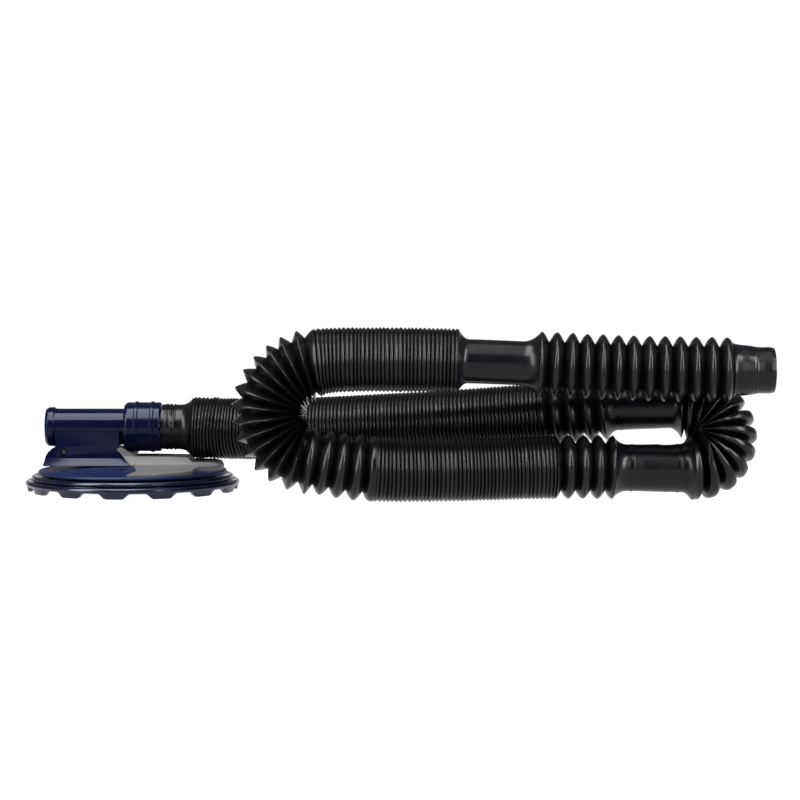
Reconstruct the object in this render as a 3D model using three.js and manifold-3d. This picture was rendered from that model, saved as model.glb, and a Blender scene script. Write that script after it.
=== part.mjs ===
// Suction pool cleaner: a low head on a round flexible disc, with a horizontal suction tube,
// a swinging hammer inside, a swivel collar, and a bellows hose folded in three runs beside it.
// Millimetres, +Z up, +X along the suction tube towards the hose. The origin is on the floor
// under the centre of the disc.

import * as THREE from 'three';
import { mergeVertices } from 'three/addons/utils/BufferGeometryUtils.js';
import Module from 'manifold-3d';

const wasm = await Module();
wasm.setup();

// ---------------------------------------------------------------- driving dimensions
const GAP = 0.3;

// Suction tube, along X
const TUBE_Z = 69.5;
const TUBE_R = 20;
const TUBE_BORE_R = 16.5;
const TUBE_LEFT = -92.2;
const TUBE_RIGHT = 52;

// End cap on the closed end of the tube
const CAP_LEFT = -94.7;
const CAP_RIGHT = -84.4;
const CAP_R = 21.6;
const CAP_LINING_R = 16;

// Neck between the tube and the deck
const NECK_HALF = TUBE_R;
const FLARE_HALF = 28;
const FLARE_TOP_Z = 36;
const FLARE_LOW_Z = 28.6;
const CHAMBER_HALF = 15.5;
const CHAMBER_LEFT = -66;
const CHAMBER_RIGHT = -15;

// Deck over the disc
const DECK_R = 103.2;
const DECK_HUB_R = 34;
const DECK_HUB_Z = 27.6;
const DECK_RIM_R = 100.2;
const DECK_RIM_Z = 22.2;
const DECK_LOW_Z = 18;
const THROAT_LEFT = -32;
const THROAT_RIGHT = -15.5;
const THROAT_HALF = 14.5;

// Rotating disc
const RACE_R = 44;
const RACE_BORE_R = 34;
const RACE_LIP_R = 50;
const RACE_LOW_Z = 6;
const HUB_R = 62;
const SKIRT_R = 117;
const SKIRT_LIP_Z = 5.6;
const LOBES = 14;
const SKIRT_STEPS = LOBES * 6;
const SKIRT_TURN = -(2 * Math.PI) / SKIRT_STEPS;
const ROUND_STEPS = 36;
const SHOE_BORE_R = 22;
const SHOE_LOW_Z = 2;

// Hammer and its pin, across Y
const HAMMER_X = -40;
const HAMMER_Z = 52;
const HAMMER_LENGTH = 21;
const HAMMER_TIP_HALF = 9;
const HAMMER_HALF = 12;
const PIN_R = 2.5;
const BUSH_R = 5;
const PIN_HALF = 18.4;

// Swivel collar on the open end of the tube
const COLLAR_LEFT = -8.2;
const COLLAR_RIGHT = 32.3;
const COLLAR_R = 27;
const COLLAR_RIB_R = 28;
const COLLAR_BORE_R = 22.8;
const BUSH_OUTER_R = 22.5;

// Bellows hose
const CUFF_R = 23;
const HEAD_CUFF_R = 24.8;
const HOSE_CREST_R = 33.4;
const HOSE_BEND_R = 30;
const HOSE_WALL = 4;
const HOSE_SIDES = 12;
const CONE_R = 27.6;
const SLEEVE_R = 24.1;
const MOUTH_R = 19.5;
const CONE_LENGTH = 21;
const SLEEVE_LENGTH = 18.5;
const HOSE_STEP = 62;
// Clearance where a slightly tilted end of the hose meets a piece that lies along X
const TILT_GAP = 2.2;

// Centreline of the hose from the collar to the end cone, in three runs and two bends
const HOSE_ROUTE = [
  [33, 0, 69.5],
  [74, -0.2, 68.9],
  [94, -2.2, 67.7],
  [119, -6, 67],
  [194, -22, 69.6],
  [261, -36, 74],
  [356, -54, 80.4],
  [440, -70, 87.5],
  [516, -85, 95],
  [575, -94, 98],
  [600, -96.5, 98.4],
  [619.7, -99, 95.9],
  [630.1, -101.5, 88.9],
  [637.1, -105, 78.5],
  [639.5, -109.5, 66.3],
  [637.1, -114, 54.1],
  [630.1, -118, 43.7],
  [619.7, -121.5, 36.7],
  [606, -124, 34.6],
  [570, -126, 34.5],
  [524, -127, 35.6],
  [460, -131, 36.6],
  [400, -135, 35],
  [337, -140, 34],
  [269, -145, 34.6],
  [232, -148, 38.8],
  [203, -149.3, 44.6],
  [184.4, -150, 48.6],
  [168.4, -150, 59],
  [157.6, -150, 75.8],
  [153.8, -150, 95.6],
  [157.9, -150, 115.2],
  [169.4, -150, 131],
  [186, -150, 142.4],
  [205, -150, 148.2],
  [281, -152, 150.2],
  [354, -153, 149],
  [433, -155, 146],
  [482, -156, 143.2],
  [602, -159, 140],
  [643, -160, 139.4],
];

// ---------------------------------------------------------------- materials
const finish = (color, roughness, metalness = 0) => (
  new THREE.MeshStandardMaterial({ color, roughness, metalness })
);
const NAVY = finish(0x0c1040, 0.28);
const NAVY_SKIRT = finish(0x14173a, 0.38);
const GREY = finish(0x8f8e90, 0.5);
const BLACK_HOSE = finish(0x141416, 0.35);
const BLACK_GLOSS = finish(0x0c0c10, 0.18);
const BLACK_RUBBER = finish(0x1b1b1b, 0.8);
const WHITE_ACETAL = finish(0xd9d7cf, 0.45);
const HAMMER_BLUE = finish(0x23408c, 0.4);
const STEEL = finish(0xb8b8b8, 0.3, 1);
const CAST_WEIGHT = finish(0x4c4d4f, 0.6, 0.8);

// ---------------------------------------------------------------- solid tools
function welded(geometry) {
  const bare = geometry.clone();
  bare.deleteAttribute('normal');
  bare.deleteAttribute('uv');
  const merged = mergeVertices(bare, 1e-4);
  const index = merged.index.array;
  const triangles = [];
  for (let i = 0; i < index.length; i += 3) {
    const [a, b, c] = [index[i], index[i + 1], index[i + 2]];
    if (a !== b && b !== c && c !== a) {
      triangles.push(a, b, c);
    }
  }
  merged.setIndex(triangles);
  if (signedVolume(merged) < 0) {
    const flipped = [];
    for (let i = 0; i < triangles.length; i += 3) {
      flipped.push(triangles[i], triangles[i + 2], triangles[i + 1]);
    }
    merged.setIndex(flipped);
  }
  return merged;
}

function signedVolume(geometry) {
  const position = geometry.getAttribute('position');
  const index = geometry.index.array;
  const a = new THREE.Vector3();
  const b = new THREE.Vector3();
  const c = new THREE.Vector3();
  let sum = 0;
  for (let i = 0; i < index.length; i += 3) {
    a.fromBufferAttribute(position, index[i]);
    b.fromBufferAttribute(position, index[i + 1]);
    c.fromBufferAttribute(position, index[i + 2]);
    sum += a.dot(b.cross(c)) / 6;
  }
  return sum;
}

function solid(geometry) {
  const merged = welded(geometry);
  return new wasm.Manifold(new wasm.Mesh({
    numProp: 3,
    vertProperties: new Float32Array(merged.getAttribute('position').array),
    triVerts: new Uint32Array(merged.index.array),
  }));
}

function surface(body) {
  const mesh = body.getMesh();
  const geometry = new THREE.BufferGeometry();
  geometry.setAttribute('position', new THREE.BufferAttribute(mesh.vertProperties, 3));
  geometry.setIndex(new THREE.BufferAttribute(mesh.triVerts, 1));
  geometry.computeVertexNormals();
  return geometry;
}

// A profile of (radius, height) pairs turned about Z. It closes on itself or ends on the axis.
function turnedZ(profile, steps = ROUND_STEPS) {
  const points = profile.map(([r, z]) => new THREE.Vector2(r, z));
  return new THREE.LatheGeometry(points, steps).rotateX(Math.PI / 2);
}

// A profile of (radius, x) pairs turned about the suction tube's axis
function turnedX(profile, steps = ROUND_STEPS) {
  const points = profile.map(([r, x]) => new THREE.Vector2(r, x));
  return new THREE.LatheGeometry(points, steps).rotateZ(-Math.PI / 2).translate(0, 0, TUBE_Z);
}

// A ring of rectangular section, closed on itself
const ringProfile = (inner, outer, low, high) => (
  [[inner, low], [outer, low], [outer, high], [inner, high], [inner, low]]
);

const outline = (points) => new THREE.Shape(points.map(([x, y]) => new THREE.Vector2(x, y)));

// A side outline of (x, z) pairs, extruded across Y
function sidePrism(points, nearY, farY) {
  const depth = farY - nearY;
  const shape = points instanceof THREE.Shape ? points : outline(points);
  const options = { depth, bevelEnabled: false, curveSegments: 12 };
  return new THREE.ExtrudeGeometry(shape, options).rotateX(Math.PI / 2).translate(0, farY, 0);
}

// An end outline of (y, z) pairs, extruded along X
function endPrism(points, leftX, rightX) {
  const options = { depth: rightX - leftX, bevelEnabled: false, curveSegments: 12 };
  const turn = new THREE.Matrix4().makeBasis(
    new THREE.Vector3(0, 1, 0),
    new THREE.Vector3(0, 0, 1),
    new THREE.Vector3(1, 0, 0),
  );
  return new THREE.ExtrudeGeometry(outline(points), options).applyMatrix4(turn).translate(leftX, 0, 0);
}

// A plan outline, extruded up Z
function planPrism(shape, lowZ, highZ) {
  const options = { depth: highZ - lowZ, bevelEnabled: false, curveSegments: 12 };
  return new THREE.ExtrudeGeometry(shape, options).translate(0, 0, lowZ);
}

function block(x0, x1, y0, y1, z0, z1) {
  const box = new THREE.BoxGeometry(x1 - x0, y1 - y0, z1 - z0);
  return box.translate((x0 + x1) / 2, (y0 + y1) / 2, (z0 + z1) / 2);
}

function rodY(x, z, radius, y0, y1, steps = 24) {
  const rod = new THREE.CylinderGeometry(radius, radius, y1 - y0, steps);
  return rod.translate(x, (y0 + y1) / 2, z);
}

function rodZ(x, y, radius, z0, z1, steps = 24) {
  const rod = new THREE.CylinderGeometry(radius, radius, z1 - z0, steps).rotateX(Math.PI / 2);
  return rod.translate(x, y, (z0 + z1) / 2);
}

// ---------------------------------------------------------------- assembly
const cleaner = new THREE.Group();
cleaner.name = 'pool_cleaner';

function add(name, shape, material) {
  const geometry = shape.isBufferGeometry ? welded(shape) : surface(shape);
  const mesh = new THREE.Mesh(geometry, material);
  mesh.name = name;
  cleaner.add(mesh);
  return mesh;
}

// ---------------------------------------------------------------- deck
const deckTop = (r) => {
  const share = (r - DECK_HUB_R) / (DECK_RIM_R - DECK_HUB_R);
  return DECK_HUB_Z + (DECK_RIM_Z - DECK_HUB_Z) * share;
};

// The deck is a shallow cone with a flat crown. Raised by a clearance it trims what sits on it.
function deckSolid(raise = 0, grow = 0) {
  return solid(turnedZ([
    [0, DECK_LOW_Z - grow],
    [DECK_RIM_R, DECK_LOW_Z - grow],
    [DECK_R, DECK_LOW_Z + 1],
    [DECK_R + grow, DECK_RIM_Z - 1.2 + raise],
    [DECK_RIM_R + grow, DECK_RIM_Z + raise],
    [DECK_HUB_R, DECK_HUB_Z + raise],
    [0, DECK_HUB_Z + raise],
  ], SKIRT_STEPS / 2));
}

const DECK_SCREWS = [[-70, -41], [-6, -50], [-70, 41], [-6, 50]];
const SCREW_HEAD_R = 3.4;
const SCREW_SHANK_R = 1.5;
const CASE_SEAT = 16.5;
const CASE_SCREWS = [
  { name: 'case_screw_near', x: -73.7, z: 42.8, side: -1 },
  { name: 'case_screw_far', x: -88, z: 33.5, side: 1 },
];

function buildDeck() {
  let deck = deckSolid();
  const throat = block(THROAT_LEFT, THROAT_RIGHT, -THROAT_HALF, THROAT_HALF, 10, 40);
  deck = deck.subtract(solid(throat));
  for (const [x, y] of DECK_SCREWS) {
    const top = deckTop(Math.hypot(x, y));
    deck = deck.subtract(solid(rodZ(x, y, SCREW_SHANK_R + GAP, DECK_LOW_Z - 1, top + 2, 12)));
    deck = deck.subtract(solid(rodZ(x, y, SCREW_HEAD_R + GAP, top - 1.8, top + 3, 16)));
  }
  add('deck', deck, NAVY);
  DECK_SCREWS.forEach(([x, y], i) => {
    const seat = deckTop(Math.hypot(x, y)) - 1.5;
    const shank = solid(rodZ(x, y, SCREW_SHANK_R, DECK_LOW_Z + 0.4, seat + 0.5, 8));
    const head = solid(rodZ(x, y, SCREW_HEAD_R, seat, seat + 1.6, 16));
    const slots = solid(block(x - 2.2, x + 2.2, y - 0.5, y + 0.5, seat + 0.9, seat + 3))
      .add(solid(block(x - 0.5, x + 0.5, y - 2.2, y + 2.2, seat + 0.9, seat + 3)));
    add(`deck_screw_${i + 1}`, shank.add(head).subtract(slots), STEEL);
  });
}

// ---------------------------------------------------------------- body shells
// Side outline of the neck: a rounded shoulder at the left, a raked edge at the right
const NECK_OUTLINE = [
  [-82.8, TUBE_Z],
  [-82.8, 49.2],
  [-86.5, 46.8],
  [-90.4, 43.4],
  [-93, 39.8],
  [-94.2, FLARE_TOP_Z],
  [-95.6, 28],
  [1, 28],
  [-7.6, FLARE_TOP_Z],
  [-16, 45.2],
  [-13, 52],
  [-13, TUBE_Z],
];

function neckSolid() {
  const side = solid(sidePrism(NECK_OUTLINE, -FLARE_HALF - 1, FLARE_HALF + 1));
  const section = solid(endPrism([
    [-NECK_HALF, TUBE_Z],
    [-NECK_HALF, FLARE_TOP_Z],
    [-FLARE_HALF, FLARE_LOW_Z],
    [-FLARE_HALF, 20],
    [FLARE_HALF, 20],
    [FLARE_HALF, FLARE_LOW_Z],
    [NECK_HALF, FLARE_TOP_Z],
    [NECK_HALF, TUBE_Z],
  ], -110, 20));
  return side.intersect(section).subtract(deckSolid(GAP));
}

function buildShells() {
  const tube = solid(turnedX([
    [0, TUBE_LEFT],
    [TUBE_R, TUBE_LEFT],
    [TUBE_R, TUBE_RIGHT],
    [0, TUBE_RIGHT],
  ]));
  const groove = solid(turnedX(ringProfile(18.6, 21, 13.2, 15.3)));
  const bore = solid(turnedX([
    [0, TUBE_LEFT - 1],
    [TUBE_BORE_R, TUBE_LEFT - 1],
    [TUBE_BORE_R, TUBE_RIGHT + 1],
    [0, TUBE_RIGHT + 1],
  ]));
  const chamber = solid(block(
    CHAMBER_LEFT, CHAMBER_RIGHT, -CHAMBER_HALF, CHAMBER_HALF, 20, HAMMER_Z + 7,
  ));
  const upper = solid(block(CHAMBER_LEFT, CHAMBER_RIGHT, -13, 13, 50, TUBE_Z));
  const pocket = solid(rodY(HAMMER_X, HAMMER_Z, BUSH_R + GAP, -PIN_HALF - GAP, PIN_HALF + GAP));
  let shell = neckSolid().add(tube);
  shell = shell.subtract(groove).subtract(bore).subtract(chamber).subtract(upper).subtract(pocket);
  for (const { x, z, side } of CASE_SCREWS) {
    const shaft = solid(rodY(x, z, SCREW_SHANK_R + GAP, -CASE_SEAT - 1, CASE_SEAT + 1, 16));
    const near = side < 0 ? -NECK_HALF - 10 : CASE_SEAT;
    const far = side < 0 ? -CASE_SEAT : NECK_HALF + 10;
    shell = shell.subtract(shaft).subtract(solid(rodY(x, z, SCREW_HEAD_R + 0.7, near, far, 24)));
  }
  const nearHalf = solid(block(-120, 80, -40, -GAP / 2, 0, 120));
  const farHalf = solid(block(-120, 80, GAP / 2, 40, 0, 120));
  add('body_shell_near', shell.intersect(nearHalf), NAVY);
  add('body_shell_far', shell.intersect(farHalf), NAVY);
  for (const { name, x, z, side } of CASE_SCREWS) {
    const seat = CASE_SEAT + GAP;
    const shank = solid(new THREE.CylinderGeometry(SCREW_SHANK_R, SCREW_SHANK_R, seat + 15, 8)
      .translate(0, (seat - 15) / 2 + 0.5, 0));
    const head = solid(new THREE.CylinderGeometry(SCREW_HEAD_R, SCREW_HEAD_R, 2.2, 16)
      .translate(0, seat + 1.1, 0));
    const slots = solid(block(-2.2, 2.2, seat + 1.2, seat + 4, -0.5, 0.5))
      .add(solid(block(-0.5, 0.5, seat + 1.2, seat + 4, -2.2, 2.2)));
    const screw = shank.add(head).subtract(slots);
    const turn = side < 0 ? 180 : 0;
    add(name, screw.rotate([0, 0, turn]).translate([x, 0, z]), STEEL);
  }
}

function buildEndCap() {
  const cap = turnedX([
    [0, CAP_LEFT],
    [CAP_R - 1, CAP_LEFT],
    [CAP_R, CAP_LEFT + 1],
    [CAP_R, CAP_RIGHT],
    [TUBE_R + GAP, CAP_RIGHT],
    [TUBE_R + GAP, TUBE_LEFT - GAP],
    [CAP_LINING_R, TUBE_LEFT - GAP],
    [CAP_LINING_R, TUBE_LEFT + 8],
    [CAP_LINING_R - 2, TUBE_LEFT + 8],
    [CAP_LINING_R - 2, TUBE_LEFT - GAP],
    [0, TUBE_LEFT - GAP],
  ]);
  const floor = solid(block(-110, -70, -40, 40, 0, 48.8));
  add('tube_end_cap', solid(cap).subtract(floor), NAVY);
}

// ---------------------------------------------------------------- nose cover and ballast
function buildNose() {
  const side = solid(sidePrism([
    [-16.2, 47.4],
    [-9.5, 47.4],
    [5, 38.6],
    [62, 37.4],
    [66.5, 32.5],
    [90, 32.2],
    [96.5, 30.4],
    [100.3, 26.8],
    [100.3, 20],
    [-12, 20],
    [-12, 34],
    [-7.2, 36.4],
  ], -96, 96));
  const section = solid(endPrism([
    [-20, 48.5],
    [-20.4, 38.4],
    [-27.5, 29.8],
    [-97, 24.6],
    [-97, 18],
    [97, 18],
    [97, 24.6],
    [27.5, 29.8],
    [20.4, 38.4],
    [20, 48.5],
  ], -30, 110));
  const reach = new THREE.Shape();
  reach.moveTo(-16.2, -21);
  reach.lineTo(-8, -22.6);
  reach.lineTo(4.5, -30.6);
  reach.lineTo(11.6, -72);
  reach.lineTo(3, -97);
  reach.lineTo(69.5, -97);
  reach.lineTo(71.5, -62);
  reach.quadraticCurveTo(72.5, -43, 79, -40.5);
  reach.quadraticCurveTo(100, -34, 100.2, -10);
  reach.lineTo(100.2, 10);
  reach.quadraticCurveTo(100, 34, 79, 40.5);
  reach.quadraticCurveTo(72.5, 43, 71.5, 62);
  reach.lineTo(69.5, 97);
  reach.lineTo(3, 97);
  reach.lineTo(11.6, 72);
  reach.lineTo(4.5, 30.6);
  reach.lineTo(-8, 22.6);
  reach.lineTo(-16.2, 21);
  const rim = solid(turnedZ([[0, 0], [DECK_RIM_R + 0.6, 0], [DECK_RIM_R + 0.6, 60], [0, 60]], SKIRT_STEPS / 2));
  const well = solid(block(8, 60, -18, 18, 20, 34.8));
  let nose = side.intersect(section).intersect(solid(planPrism(reach, 10, 60))).intersect(rim);
  nose = nose.subtract(deckSolid(GAP)).subtract(solid(sidePrism(neckClearance(), -40, 40)));
  nose = nose.subtract(well).subtract(solid(turnedX([
    [0, COLLAR_LEFT - 1.2],
    [COLLAR_RIB_R + 1.2, COLLAR_LEFT - 1.2],
    [COLLAR_RIB_R + 1.2, COLLAR_RIGHT + 1.2],
    [0, COLLAR_RIGHT + 1.2],
  ])));
  for (const [x, y] of DECK_SCREWS.filter(([sx]) => sx > -20)) {
    nose = nose.subtract(solid(rodZ(x, y, SCREW_HEAD_R + 1.2, 20, 40, 20)));
  }
  add('nose_cover', nose, GREY);
  add('ballast_weight', block(9, 59, -17, 17, DECK_HUB_Z + GAP, 34.2), CAST_WEIGHT);
}

// The neck's raked edge moved out by a clearance
function neckClearance() {
  return [
    [-60, 60],
    [-60, 20],
    [2.6, 20],
    [1.6 + GAP, 27.5],
    [-7.2 + GAP, FLARE_TOP_Z + 0.2],
    [-15.6, 45.2],
    [-12, 52],
    [-12, 60],
  ];
}

// ---------------------------------------------------------------- hammer
function hammerShape() {
  const shape = new THREE.Shape();
  const eye = BUSH_R + 1;
  const low = HAMMER_Z - HAMMER_LENGTH;
  const dip = HAMMER_LENGTH - Math.sqrt(HAMMER_LENGTH ** 2 - HAMMER_TIP_HALF ** 2);
  shape.moveTo(HAMMER_X - HAMMER_TIP_HALF, low + dip);
  shape.quadraticCurveTo(HAMMER_X, low - dip, HAMMER_X + HAMMER_TIP_HALF, low + dip);
  shape.lineTo(HAMMER_X + HAMMER_TIP_HALF, low + dip + 4);
  shape.lineTo(HAMMER_X + eye * 0.9, HAMMER_Z - 2);
  shape.absarc(HAMMER_X, HAMMER_Z, eye, -0.3, Math.PI + 0.3, false);
  shape.lineTo(HAMMER_X - HAMMER_TIP_HALF, low + dip + 4);
  const hole = new THREE.Path();
  hole.absarc(HAMMER_X, HAMMER_Z, PIN_R + 0.15, 0, Math.PI * 2, true);
  shape.holes.push(hole);
  return shape;
}

function buildHammer() {
  add('hammer', sidePrism(hammerShape(), -HAMMER_HALF, HAMMER_HALF), HAMMER_BLUE);
  add('hammer_pin', rodY(HAMMER_X, HAMMER_Z, PIN_R, -PIN_HALF, PIN_HALF, 20), STEEL);
  for (const [name, side] of [['hammer_bush_near', -1], ['hammer_bush_far', 1]]) {
    const ring = turnedZ(ringProfile(PIN_R + 0.15, BUSH_R, 0, PIN_HALF - CHAMBER_HALF + 1), 24);
    ring.rotateX(side < 0 ? Math.PI / 2 : -Math.PI / 2);
    ring.translate(HAMMER_X, side * (CHAMBER_HALF - 1), HAMMER_Z);
    add(name, ring, WHITE_ACETAL);
  }
  const padLow = 31;
  const padHigh = 43;
  const rear = block(CHAMBER_LEFT + GAP, CHAMBER_LEFT + 7.5, -12, 12, padLow, padHigh);
  const front = block(CHAMBER_RIGHT - 7.5, CHAMBER_RIGHT - GAP, -12, 12, padLow, padHigh);
  add('stop_pad_rear', rear, BLACK_RUBBER);
  add('stop_pad_front', front, BLACK_RUBBER);
}

// ---------------------------------------------------------------- rotating disc
// Each lobe hangs below the lip as a flat-footed tab with sloping sides.
function lobeDrop(angle) {
  const pitch = (2 * Math.PI) / LOBES;
  const phase = (((angle + Math.PI / 2) / pitch) % 1 + 1.5) % 1 - 0.5;
  const across = Math.abs(phase);
  const flat = 0.17;
  const side = 0.34;
  return THREE.MathUtils.clamp((side - across) / (side - flat), 0, 1);
}

function buildSkirt() {
  const lip = SKIRT_LIP_Z;
  const profile = [
    [HUB_R + GAP, 11],
    [94, 11],
    [101, 8.6],
    [107, lip],
    [110.5, lip - 0.01],
    [114.8, lip - 0.01],
    [SKIRT_R, lip + 1.2],
    [SKIRT_R, 9],
    [115.2, 10.4],
    [111.4, 10.9],
    [110.4, 12],
    [110.4, 14.8],
    [108.6, 16.4],
    [98.6, 16.6],
    [97, 15.7],
    [HUB_R + GAP, 15.7],
    [HUB_R + GAP, 11],
  ];
  const geometry = turnedZ(profile, SKIRT_STEPS);
  const position = geometry.getAttribute('position');
  for (let i = 0; i < position.count; i += 1) {
    const x = position.getX(i);
    const y = position.getY(i);
    const radius = Math.hypot(x, y);
    if (position.getZ(i) < lip && radius > 109) {
      position.setZ(i, lip - lip * lobeDrop(Math.atan2(y, x)));
    }
  }
  add('disc_skirt', geometry.rotateZ(SKIRT_TURN), NAVY_SKIRT);
}

function buildDisc() {
  add('disc_race', turnedZ([
    [RACE_BORE_R, RACE_LOW_Z],
    [RACE_LIP_R, RACE_LOW_Z],
    [RACE_LIP_R, RACE_LOW_Z + 2],
    [RACE_R, RACE_LOW_Z + 2],
    [RACE_R, DECK_LOW_Z - GAP],
    [RACE_BORE_R, DECK_LOW_Z - GAP],
    [RACE_BORE_R, RACE_LOW_Z],
  ]), WHITE_ACETAL);
  add('disc_hub', turnedZ([
    [RACE_R + 0.6, 8.5],
    [HUB_R, 8.5],
    [HUB_R, 16.1],
    [72, 16.1],
    [72, 17.4],
    [RACE_R + 0.6, 17.4],
    [RACE_R + 0.6, 8.5],
  ]), NAVY);
  add('skirt_clamp', turnedZ(ringProfile(HUB_R + GAP, 74, 8.5, 10.7)), NAVY);
  add('inlet_shoe', turnedZ([
    [SHOE_BORE_R, SHOE_LOW_Z],
    [38, SHOE_LOW_Z],
    [42, SHOE_LOW_Z + 1.6],
    [42, RACE_LOW_Z - GAP],
    [SHOE_BORE_R, RACE_LOW_Z - GAP],
    [SHOE_BORE_R, SHOE_LOW_Z],
  ]), BLACK_RUBBER);
  buildSkirt();
}

// ---------------------------------------------------------------- swivel
function buildSwivel() {
  const lipR = TUBE_R + 0.6;
  add('swivel_collar', turnedX([
    [lipR, COLLAR_LEFT],
    [COLLAR_R - 2.5, COLLAR_LEFT],
    [COLLAR_R, COLLAR_LEFT + 3],
    [COLLAR_R, 3.2],
    [COLLAR_RIB_R, 4],
    [COLLAR_RIB_R, 6.4],
    [COLLAR_R, 7.2],
    [COLLAR_R, 20.6],
    [COLLAR_RIB_R, 21.4],
    [COLLAR_RIB_R, 23.8],
    [COLLAR_R, 24.6],
    [COLLAR_R, COLLAR_RIGHT - 1],
    [COLLAR_R - 1, COLLAR_RIGHT],
    [lipR, COLLAR_RIGHT],
    [lipR, COLLAR_RIGHT - 2.2],
    [COLLAR_BORE_R, COLLAR_RIGHT - 2.2],
    [COLLAR_BORE_R, COLLAR_LEFT + 2.2],
    [lipR, COLLAR_LEFT + 2.2],
    [lipR, COLLAR_LEFT],
  ]), NAVY);
  const bush = (low) => turnedX(ringProfile(TUBE_R + GAP, BUSH_OUTER_R, low, low + 6));
  add('swivel_bush_rear', bush(COLLAR_LEFT + 2.8), WHITE_ACETAL);
  add('swivel_bush_front', bush(COLLAR_RIGHT - 8.8), WHITE_ACETAL);
  const sealR = 1;
  const sealMid = TUBE_R + GAP + sealR;
  const section = [];
  for (let i = 0; i <= 6; i += 1) {
    const turn = (i / 6) * Math.PI * 2;
    section.push([sealMid + sealR * Math.cos(turn), 4 + sealR * Math.sin(turn)]);
  }
  add('swivel_seal', turnedX(section), BLACK_RUBBER);
  add('retaining_ring', turnedX(ringProfile(18.9, 22, 13.5, 15)), STEEL);
}

// ---------------------------------------------------------------- hose
const route = new THREE.CatmullRomCurve3(
  HOSE_ROUTE.map(([x, y, z]) => new THREE.Vector3(x, y, z)),
  false,
  'centripetal',
);
route.arcLengthDivisions = 2000;
const routeLength = route.getLength();

class Stretch extends THREE.Curve {
  constructor(from, to) {
    super();
    this.from = from;
    this.to = to;
  }

  getPoint(t, target = new THREE.Vector3()) {
    const along = this.from + (this.to - this.from) * t;
    return route.getPointAt(Math.min(along / routeLength, 1), target);
  }
}

function ringShape(outer, inner) {
  const shape = new THREE.Shape();
  const hole = new THREE.Path();
  for (let i = 0; i < HOSE_SIDES; i += 1) {
    const turn = (i / HOSE_SIDES) * Math.PI * 2;
    const place = (path, radius) => {
      const point = [radius * Math.cos(turn), radius * Math.sin(turn)];
      if (i === 0) {
        path.moveTo(...point);
      } else {
        path.lineTo(...point);
      }
    };
    place(shape, outer);
    place(hole, inner);
  }
  shape.closePath();
  hole.closePath();
  shape.holes.push(hole);
  return shape;
}

function hosePiece(name, from, to, radius, spacing, material = BLACK_HOSE) {
  const steps = Math.max(2, Math.ceil((to - from) / spacing));
  const stretch = new Stretch(from + GAP / 2, to - GAP / 2);
  const options = { steps, bevelEnabled: false, extrudePath: stretch };
  const section = ringShape(radius, radius - HOSE_WALL);
  add(name, new THREE.ExtrudeGeometry(section, options), material);
}

// Distance along the centreline of the point nearest to a place
function along(x, y, z) {
  const place = new THREE.Vector3(x, y, z);
  let best = 0;
  let nearest = Infinity;
  for (let i = 0; i <= 4000; i += 1) {
    const gap = route.getPointAt(i / 4000).distanceTo(place);
    if (gap < nearest) {
      nearest = gap;
      best = (i / 4000) * routeLength;
    }
  }
  return best;
}

function buildHose() {
  const flare = 66.5;
  add('hose_head_cuff', turnedX([
    [TUBE_R + GAP + 0.1, COLLAR_RIGHT + GAP],
    [HEAD_CUFF_R, COLLAR_RIGHT + GAP],
    [HEAD_CUFF_R, 58.6],
    [HOSE_CREST_R - 1, 64.5],
    [HOSE_CREST_R - 1, flare],
    [HOSE_CREST_R - HOSE_WALL, flare],
    [TUBE_R + 2.5, 56.5],
    [TUBE_R + GAP + 0.1, 54],
    [TUBE_R + GAP + 0.1, COLLAR_RIGHT + GAP],
  ]), BLACK_GLOSS);
  const marks = {
    start: along(flare, 0, TUBE_Z) + TILT_GAP,
    cuff1: along(518, -85, 95),
    bend1: along(599, -96, 99),
    cuff2: along(608, -124, 35),
    low: along(524, -127, 35.6),
    bend2: along(236, -148, 38),
    top: along(206, -150, 149),
    cuff3: along(362, -153, 149),
    out: along(432, -155, 146),
    end: routeLength - TILT_GAP,
  };
  hosePiece('hose_run_middle', marks.start, marks.cuff1, HOSE_CREST_R, HOSE_STEP);
  hosePiece('hose_cuff_middle', marks.cuff1, marks.bend1, CUFF_R, HOSE_STEP, BLACK_GLOSS);
  hosePiece('hose_bend_right', marks.bend1, marks.cuff2, HOSE_BEND_R, 14);
  hosePiece('hose_cuff_low', marks.cuff2, marks.low, CUFF_R + 2, HOSE_STEP, BLACK_GLOSS);
  hosePiece('hose_run_low', marks.low, marks.bend2, HOSE_CREST_R, HOSE_STEP);
  hosePiece('hose_bend_left', marks.bend2, marks.top, HOSE_BEND_R, 20);
  hosePiece('hose_run_top', marks.top, marks.cuff3, HOSE_CREST_R, HOSE_STEP);
  hosePiece('hose_cuff_top', marks.cuff3, marks.out, CUFF_R, HOSE_STEP, BLACK_GLOSS);
  hosePiece('hose_run_end', marks.out, marks.end, HOSE_CREST_R, HOSE_STEP);
  buildConnector();
}

// The moulded cone and socket on the open end of the hose, along X
function buildConnector() {
  const [x, y, z] = HOSE_ROUTE[HOSE_ROUTE.length - 1];
  const socket = turnedX([
    [CONE_R - HOSE_WALL, x + GAP],
    [CONE_R + 2, x + GAP],
    [CONE_R, x + 4],
    [CONE_R - 1.2, x + CONE_LENGTH - 2],
    [SLEEVE_R, x + CONE_LENGTH],
    [SLEEVE_R, x + CONE_LENGTH + SLEEVE_LENGTH - 1],
    [SLEEVE_R - 0.8, x + CONE_LENGTH + SLEEVE_LENGTH],
    [MOUTH_R, x + CONE_LENGTH + SLEEVE_LENGTH],
    [MOUTH_R, x + CONE_LENGTH],
    [CONE_R - HOSE_WALL, x + 8],
    [CONE_R - HOSE_WALL, x + GAP],
  ]);
  add('hose_end_connector', socket.translate(0, y, z - TUBE_Z), BLACK_GLOSS);
}

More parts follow.
